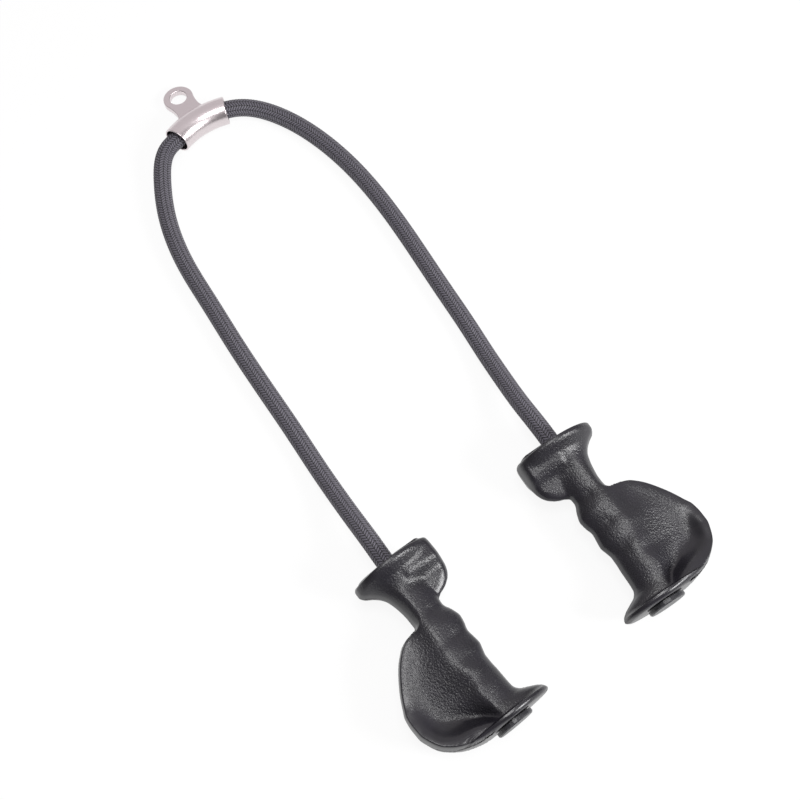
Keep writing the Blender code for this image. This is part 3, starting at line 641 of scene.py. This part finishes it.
# The sections lie closer together where the shape changes fast
section_shares = np.array([
    0, 0.005, 0.015, 0.035, 0.06, 0.085, 0.11, 0.14, 0.17, 0.2, 0.23, 0.26, 0.285, 0.31, 0.335,
    0.352, 0.36, 0.367, 0.38, 0.4, 0.43, 0.47, 0.52, 0.565, 0.61, 0.655, 0.7, 0.745, 0.79,
    0.83, 0.865, 0.893, 0.915, 0.935, 0.953, 0.968, 0.98, 0.99, 1,
])
section_count, points_across = 229, 81
places_listed = np.arange(len(section_shares))
stations = np.interp(np.linspace(0, places_listed[-1], section_count), places_listed, section_shares)
spread = (1 - np.cos(np.linspace(0, math.pi, points_across))) / 2
rings, grains = [], []
for share in stations:
    a = float(share * grip_length)
    finger = float(-finger_reach * through(finger_line, share))
    palm = float(palm_reach * through(palm_line, share))
    p = finger + (palm - finger) * spread
    depth, grain = section(a, p, finger, palm)
    depth[0] = depth[-1] = 0
    upper = np.c_[p, np.full_like(p, -a), depth]
    lower = np.c_[p, np.full_like(p, -a), -depth]
    rings.append(np.vstack([upper, lower[-2:0:-1]]))
    grains.append(np.r_[grain, grain[-2:0:-1]])
# The bore and the pocket for the rope's stop close the moulding into one skin
pocket_radius, liner_radius, pocket_floor = 0.0128, 0.0103, 0.130
rope_end, foot_end = rings[0], rings[-1]
for outer, radius, a in (
    (foot_end, pocket_radius, grip_length),
    (foot_end, pocket_radius, pocket_floor),
    (foot_end, liner_radius, pocket_floor),
    (rope_end, liner_radius, 0.0),
):
    around = np.arctan2(outer[:, 2], outer[:, 0])
    rings.append(np.c_[radius * np.cos(around), np.full(len(around), -a), radius * np.sin(around)])
    grains.append(np.zeros(len(around)))
count = len(rings[0])
faces = []
for i in range(len(rings)):
    j = (i + 1) % len(rings)
    for k in range(count):
        n = (k + 1) % count
        faces.append((i * count + k, i * count + n, j * count + n, j * count + k))

# Urethane rubber, moulded black: satin, with a fine pebbled grain like leather, 1.4 mm to a pebble,
# that fades out towards the rims, and a tone that varies in patches of about 2 cm
pebbles_per_metre, creases_per_metre, patches_per_metre = 700.0, 1300.0, 55.0
urethane, tree, skin = new_finish("pebbled black urethane")
place = node(tree, "TexCoord").outputs["Object"]
pebbles = node(
    tree, "TexVoronoi", {"Vector": place, "Scale": pebbles_per_metre, "Randomness": 0.9}, feature="SMOOTH_F1"
)
creases = node(tree, "TexNoise", {"Vector": place, "Scale": creases_per_metre, "Detail": 2.0})
fine = node(tree, "Math", {0: creases.outputs["Fac"], 1: 0.5}, operation="MULTIPLY")
mask = node(tree, "Attribute", attribute_name="grain")
both = node(tree, "Math", {0: pebbles.outputs["Distance"], 1: fine.outputs[0]}, operation="SUBTRACT")
grain_height = node(tree, "Math", {0: both.outputs[0], 1: mask.outputs["Fac"]}, operation="MULTIPLY")
worn = node(tree, "TexNoise", {"Vector": place, "Scale": patches_per_metre, "Detail": 5.0})
ramp = node(tree, "ValToRGB", {"Fac": worn.outputs["Fac"]})
set_tones(ramp, (0.3, "15141a"), (0.75, "1e1c24"))
tree.links.new(ramp.outputs["Color"], skin.inputs["Base Color"])
rough = node(tree, "MapRange", {"Value": mask.outputs["Fac"], "To Min": 0.28, "To Max": 0.38})
uneven = node(
    tree, "Math", {0: worn.outputs["Fac"], 1: 0.08, 2: rough.outputs["Result"]}, operation="MULTIPLY_ADD"
)
tree.links.new(uneven.outputs[0], skin.inputs["Roughness"])
bump = node(tree, "Bump", {"Height": grain_height.outputs[0], "Strength": 1.0, "Distance": 0.00048})
bump.invert = True
tree.links.new(bump.outputs["Normal"], skin.inputs["Normal"])
skin.inputs["IOR"].default_value = 1.6

for side, entry, turn, flipped in (
    ("left", left_entry, left_turn, True),
    ("right", right_entry, right_turn, False),
):
    mesh = bpy.data.meshes.new("grip_moulding_" + side)
    mesh.from_pydata(np.vstack(rings), [], faces)
    grain_layer = mesh.attributes.new("grain", "FLOAT", "POINT")
    grain_layer.data.foreach_set("value", np.hstack(grains).astype(np.float32))
    flip = Matrix.Rotation(math.pi, 4, "Y") if flipped else Matrix.Identity(4)
    mesh.transform(Matrix.Translation(entry) @ Matrix.Rotation(turn, 4, "Z") @ flip)
    mesh.shade_smooth()
    mesh.set_sharp_from_angle(angle=math.radians(75))
    grip = bpy.data.objects.new("grip_moulding_" + side, mesh)
    bpy.context.scene.collection.objects.link(grip)
    grip.data.materials.append(urethane)
    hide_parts("grip_" + side)
    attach(grip, "handle_" + side)


# Liner tubes and washers: steel parts inside the grips, in the CAD's own shapes. The rope turns in the
# tube, and the washer spreads the pull of its stop.


def finish_node(name, finish):
    """Gives one of the CAD's own nodes its finish."""
    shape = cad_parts[name].data
    shape.materials.clear()
    shape.materials.append(finish)


# Zinc plating: pale blue-grey metal with a fine cloudy bloom, in patches of about 3 mm
zinc, tree, skin = new_finish("zinc-plated steel")
place = node(tree, "TexCoord").outputs["Object"]
bloom = node(tree, "TexNoise", {"Vector": place, "Scale": 300.0, "Detail": 5.0})
ramp = node(tree, "ValToRGB", {"Fac": bloom.outputs["Fac"]})
set_tones(ramp, (0.3, "a2a7af"), (0.7, "c6c9cd"))
tree.links.new(ramp.outputs["Color"], skin.inputs["Base Color"])
rough = node(tree, "MapRange", {"Value": bloom.outputs["Fac"], "To Min": 0.28, "To Max": 0.44})
tree.links.new(rough.outputs["Result"], skin.inputs["Roughness"])
skin.inputs["Metallic"].default_value = 1.0
for side in ("left", "right"):
    finish_node("liner_tube_" + side, zinc)
    finish_node("washer_" + side, zinc)


# Ferrules: crimped on the rope's ends behind the washers, so that it can't pull out of the grips. They
# keep the CAD's own shape.
# Pressed aluminium: pale and soft, with the drag marks of the die, 0.7 mm apart, running along it
alloy, tree, skin = new_finish("crimped aluminium")
place = node(tree, "TexCoord").outputs["Object"]
drawn = node(tree, "Mapping", {"Vector": place, "Scale": (1500.0, 90.0, 1500.0)})
marks = node(tree, "TexNoise", {"Vector": drawn.outputs["Vector"], "Scale": 1.0, "Detail": 4.0})
ramp = node(tree, "ValToRGB", {"Fac": marks.outputs["Fac"]})
set_tones(ramp, (0.0, "aeb0b2"), (1.0, "d6d7d8"))
tree.links.new(ramp.outputs["Color"], skin.inputs["Base Color"])
bump = node(tree, "Bump", {"Height": marks.outputs["Fac"], "Strength": 0.3, "Distance": 0.0001})
tree.links.new(bump.outputs["Normal"], skin.inputs["Normal"])
skin.inputs["Metallic"].default_value = 1.0
skin.inputs["Roughness"].default_value = 0.4
for side in ("left", "right"):
    finish_node("ferrule_" + side, alloy)


# End caps: black plastic discs with a round edge, set into the grips' feet over the ferrules.
# They are smoother than the grip and keep the CAD's own shape.
# Injection-moulded plastic: satin black, with a very faint unevenness and scuffs about 4 mm across
cap_plastic, tree, skin = new_finish("smooth black plastic")
place = node(tree, "TexCoord").outputs["Object"]
scuffs = node(tree, "TexNoise", {"Vector": place, "Scale": 240.0, "Detail": 6.0, "Roughness": 0.65})
ramp = node(tree, "ValToRGB", {"Fac": scuffs.outputs["Fac"]})
set_tones(ramp, (0.3, "252528"), (0.75, "333338"))
tree.links.new(ramp.outputs["Color"], skin.inputs["Base Color"])
rough = node(tree, "MapRange", {"Value": scuffs.outputs["Fac"], "To Min": 0.28, "To Max": 0.46})
tree.links.new(rough.outputs["Result"], skin.inputs["Roughness"])
bump = node(tree, "Bump", {"Height": scuffs.outputs["Fac"], "Strength": 0.15, "Distance": 0.0002})
tree.links.new(bump.outputs["Normal"], skin.inputs["Normal"])
for side in ("left", "right"):
    finish_node("end_cap_" + side, cap_plastic)


# Floor and studio light: a plain white table in a room that is brighter at the back than at the front,
# with one soft lamp at the front right and one overhead
floor_mesh = bpy.data.meshes.new("floor")
half_floor = 30
corners = [(x * half_floor, y * half_floor, 0) for x, y in ((-1, -1), (1, -1), (1, 1), (-1, 1))]
floor_mesh.from_pydata(corners, [], [(0, 1, 2, 3)])
floor = bpy.data.objects.new("floor", floor_mesh)
bpy.context.scene.collection.objects.link(floor)
white, tree, skin = new_finish("white table")
skin.inputs["Base Color"].default_value = colour("fcfcfc")
skin.inputs["Roughness"].default_value = 0.9
ray = node(tree, "LightPath")
# What the camera sees of the table, also in a reflection, is mostly its own glow, so that it stays white
camera_ray, glossy_ray = ray.outputs["Is Camera Ray"], ray.outputs["Is Glossy Ray"]
seen = node(tree, "Math", {0: camera_ray, 1: glossy_ray}, operation="MAXIMUM")
clear = node(tree, "Math", {0: seen.outputs[0], 1: ray.outputs["Is Transmission Ray"]}, operation="MAXIMUM")
glow_part = node(tree, "Math", {0: clear.outputs[0], 1: 0.9}, operation="MULTIPLY")
glow = node(tree, "Emission", {"Color": colour("ffffff"), "Strength": 1.0})
mix = node(tree, "MixShader", {0: glow_part.outputs[0], 1: skin.outputs["BSDF"], 2: glow.outputs["Emission"]})
tree.links.new(mix.outputs["Shader"], tree.nodes["Material Output"].inputs["Surface"])
floor_mesh.materials.append(white)

world = bpy.data.worlds.new("studio")
world.use_nodes = True
bpy.context.scene.world = world
tree = world.node_tree
direction = node(tree, "TexCoord").outputs["Generated"]
bright_side = (0.278, 0.689, 0.669)
facing = node(tree, "VectorMath", {0: direction, 1: bright_side}, operation="DOT_PRODUCT")
level = node(tree, "MapRange", {
    "Value": facing.outputs["Value"], "From Min": 0.55, "From Max": 0.8, "To Min": 0.22, "To Max": 0.7,
})
tree.links.new(level.outputs["Result"], tree.nodes["Background"].inputs["Strength"])
tree.nodes["Background"].inputs["Color"].default_value = colour("fffafc")

for name, heading, rise, away, size, power in (
    ("front right", 143, 34, 1.8, (0.7, 0.6), 28.0),
    ("overhead", -152, 83, 1.7, (0.55, 0.55), 13.0),
):
    light = bpy.data.lights.new(name, "AREA")
    light.shape = "RECTANGLE"
    light.size, light.size_y = size
    light.energy = power
    lamp = bpy.data.objects.new(name, light)
    lamp.visible_camera = False
    bpy.context.scene.collection.objects.link(lamp)
    turn, lift = math.radians(heading), math.radians(rise)
    towards = Vector((math.cos(lift) * math.sin(turn), math.cos(lift) * math.cos(turn), math.sin(lift)))
    lamp.location = towards * away
    lamp.rotation_mode = "QUATERNION"
    lamp.rotation_quaternion = (-towards).to_track_quat("-Z", "Y")
bpy.context.scene.view_settings.view_transform = "Standard"
